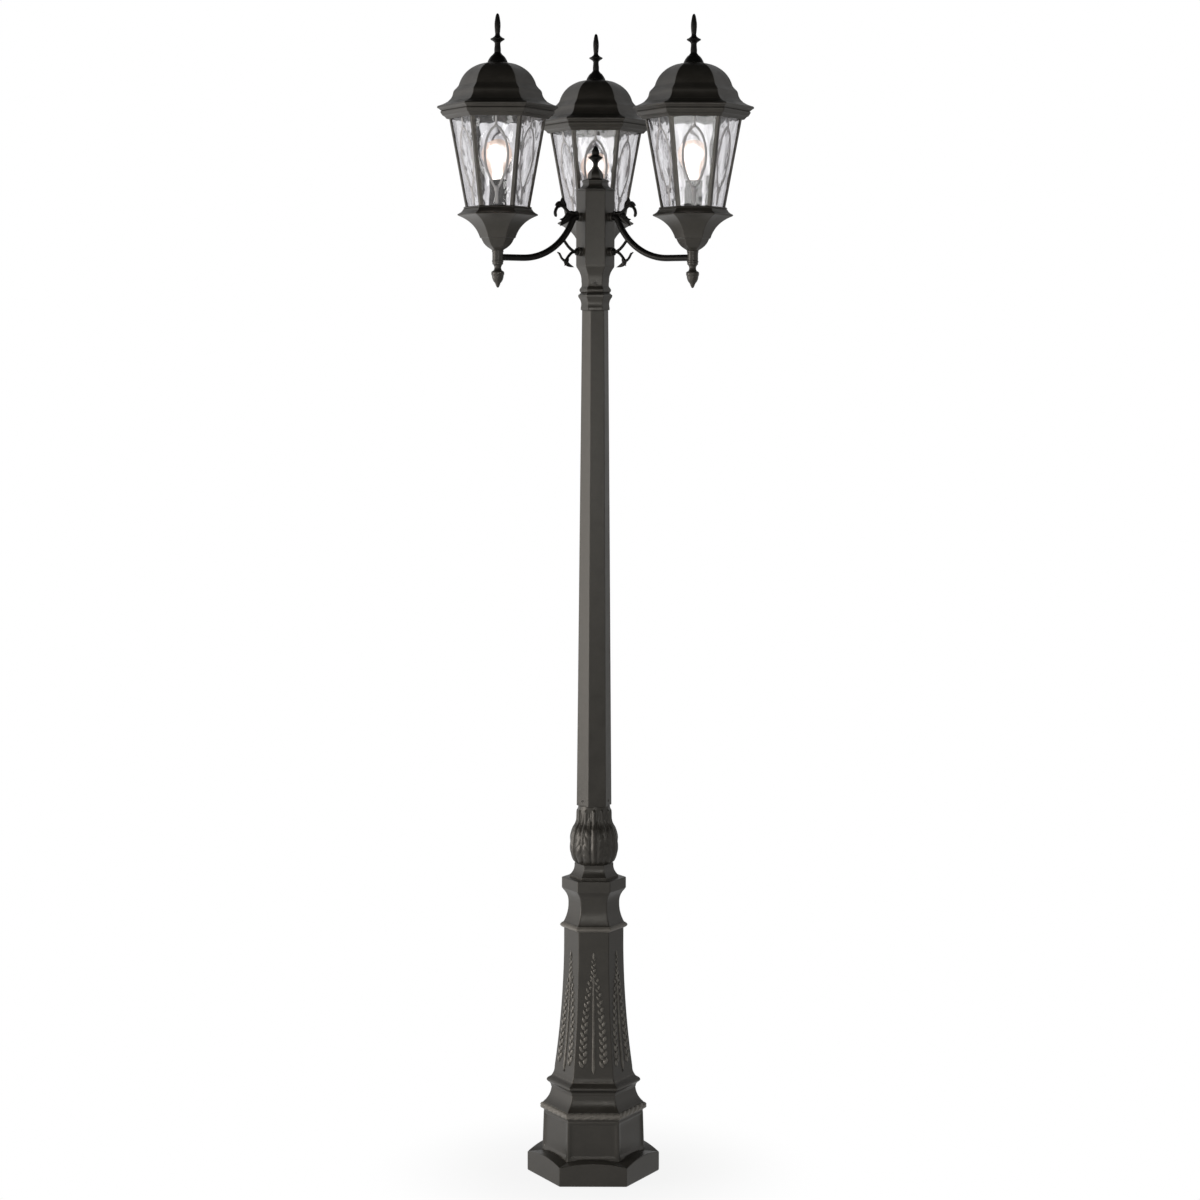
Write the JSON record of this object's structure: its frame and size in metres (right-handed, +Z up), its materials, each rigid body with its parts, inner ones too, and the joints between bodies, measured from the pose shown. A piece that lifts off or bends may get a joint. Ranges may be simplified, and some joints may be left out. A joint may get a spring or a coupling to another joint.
{
  "type": "post lantern",
  "caption": "Tall garden post light: hexagonal cast post with leaf collar, three curved arms with scrolls, and glazed hexagonal lanterns whose roofs lift off to reach the bulbs.",
  "frame": {"origin": "on the post's axis, in the plane of the ground under the base", "axes": "+Z up along the post, -Y the front between the two forward lanterns, +X the front's right"},
  "size_m": [0.6414, 0.5554, 2.4125],
  "materials": {
    "cast_black": "fine-textured black-bronze powder coat on cast aluminium",
    "screw_steel": "zinc plated",
    "water_glass": "clear rippled glass",
    "bulb_glass": "lit frosted glass",
    "porcelain": "glazed",
    "cap_metal": "rolled screw shell"
  },
  "bodies": {
    "root": {"base_block": "cast_black", "pedestal": "cast_black", "base_set_screws": "screw_steel", "leaf_collar": "cast_black", "collar_lock_nut": "screw_steel", "shaft": "cast_black", "shaft_set_screws": "screw_steel", "capital": "cast_black", "post_head": "cast_black", "head_set_screws": "screw_steel", "head_cap": "cast_black", "cap_stud": "screw_steel", "cap_finial": "cast_black", "arm_lock_nuts": "screw_steel", "brace_screws": "screw_steel", "arm_left": "cast_black", "upper_scroll_left": "cast_black", "lower_scroll_left": "cast_black", "stem_left": "cast_black", "drop_finial_left": "cast_black", "threaded_pipe_left": "screw_steel", "bowl_left": "cast_black", "cage_left": "cast_black", "panes_left": "water_glass", "holder_sleeve_left": "cast_black", "lamp_holder_left": "porcelain", "arm_right": "cast_black", "upper_scroll_right": "cast_black", "lower_scroll_right": "cast_black", "stem_right": "cast_black", "drop_finial_right": "cast_black", "threaded_pipe_right": "screw_steel", "bowl_right": "cast_black", "cage_right": "cast_black", "panes_right": "water_glass", "holder_sleeve_right": "cast_black", "lamp_holder_right": "porcelain", "arm_back": "cast_black", "upper_scroll_back": "cast_black", "lower_scroll_back": "cast_black", "stem_back": "cast_black", "drop_finial_back": "cast_black", "threaded_pipe_back": "screw_steel", "bowl_back": "cast_black", "cage_back": "cast_black", "panes_back": "water_glass", "holder_sleeve_back": "cast_black", "lamp_holder_back": "porcelain"},
    "roof_left": {"roof_left": "cast_black", "roof_finial_left": "cast_black"},
    "bulb_screw_left": {"bulb_cap_left": "cap_metal"},
    "bulb_glass_left": {"bulb_left": "bulb_glass"},
    "roof_right": {"roof_right": "cast_black", "roof_finial_right": "cast_black"},
    "bulb_screw_right": {"bulb_cap_right": "cap_metal"},
    "bulb_glass_right": {"bulb_right": "bulb_glass"},
    "roof_back": {"roof_back": "cast_black", "roof_finial_back": "cast_black"},
    "bulb_screw_back": {"bulb_cap_back": "cap_metal"},
    "bulb_glass_back": {"bulb_back": "bulb_glass"}
  },
  "joints": [
    {"name": "roof_lift_left", "type": "slide", "parent": "root", "child": "roof_left", "axis": [0, 0, 1], "range_m": [0, 0.15]},
    {"name": "bulb_rise_left", "type": "slide", "parent": "root", "child": "bulb_screw_left", "axis": [0, 0, 1], "range_m": [0, 0.0109]},
    {"name": "bulb_turn_left", "type": "hinge", "parent": "bulb_screw_left", "child": "bulb_glass_left", "pos_m": [-0.19745, -0.114, 2.1], "axis": [0, 0, 1], "range_deg": [0, 1080]},
    {"name": "roof_lift_right", "type": "slide", "parent": "root", "child": "roof_right", "axis": [0, 0, 1], "range_m": [0, 0.15]},
    {"name": "bulb_rise_right", "type": "slide", "parent": "root", "child": "bulb_screw_right", "axis": [0, 0, 1], "range_m": [0, 0.0109]},
    {"name": "bulb_turn_right", "type": "hinge", "parent": "bulb_screw_right", "child": "bulb_glass_right", "pos_m": [0.19745, -0.114, 2.1], "axis": [0, 0, 1], "range_deg": [0, 1080]},
    {"name": "roof_lift_back", "type": "slide", "parent": "root", "child": "roof_back", "axis": [0, 0, 1], "range_m": [0, 0.15]},
    {"name": "bulb_rise_back", "type": "slide", "parent": "root", "child": "bulb_screw_back", "axis": [0, 0, 1], "range_m": [0, 0.0109]},
    {"name": "bulb_turn_back", "type": "hinge", "parent": "bulb_screw_back", "child": "bulb_glass_back", "pos_m": [0, 0.228, 2.1], "axis": [0, 0, 1], "range_deg": [0, 1080]}
  ],
  "couplings": [
    {"joint": "bulb_rise_left", "follows": "bulb_turn_left", "m_per_rad": 0.00057757},
    {"joint": "bulb_rise_right", "follows": "bulb_turn_right", "m_per_rad": 0.00057757},
    {"joint": "bulb_rise_back", "follows": "bulb_turn_back", "m_per_rad": 0.00057757}
  ]
}
